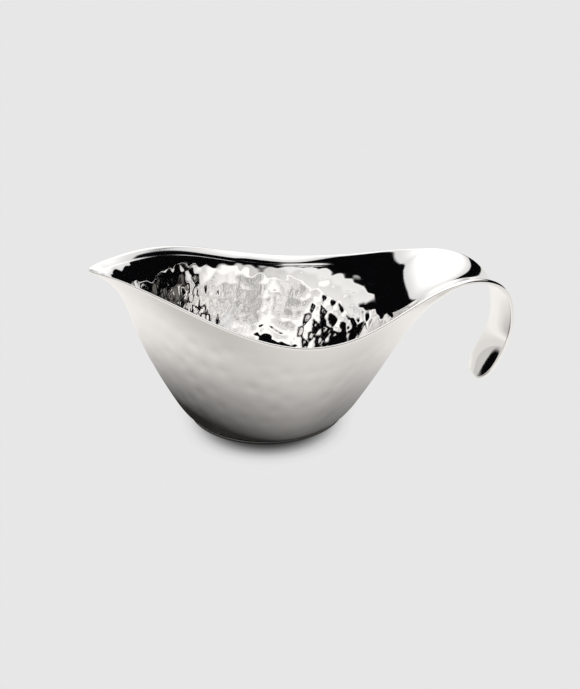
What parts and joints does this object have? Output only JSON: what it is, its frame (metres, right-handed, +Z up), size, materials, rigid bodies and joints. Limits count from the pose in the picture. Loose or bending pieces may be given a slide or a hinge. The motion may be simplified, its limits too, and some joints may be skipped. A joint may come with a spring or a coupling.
{
  "type": "gravy boat",
  "caption": "Open boat-shaped sauce server of hammered steel sheet, with a drawn pouring lip, a flat round base and a strap handle curled down and back.",
  "frame": {"origin": "centre of the underside of the base disc, on the table", "axes": "+Z up, +X towards the handle, -X towards the pouring lip, XZ is the plane of symmetry"},
  "size_m": [0.2309, 0.1454, 0.0882],
  "materials": {
    "mirror_steel": "polished stainless steel",
    "weld_steel": "polished weld",
    "satin_steel": "satin stainless steel"
  },
  "bodies": {
    "root": {"bowl": "mirror_steel", "handle": "mirror_steel", "handle_weld": "weld_steel", "base_disc": "satin_steel"}
  },
  "joints": []
}
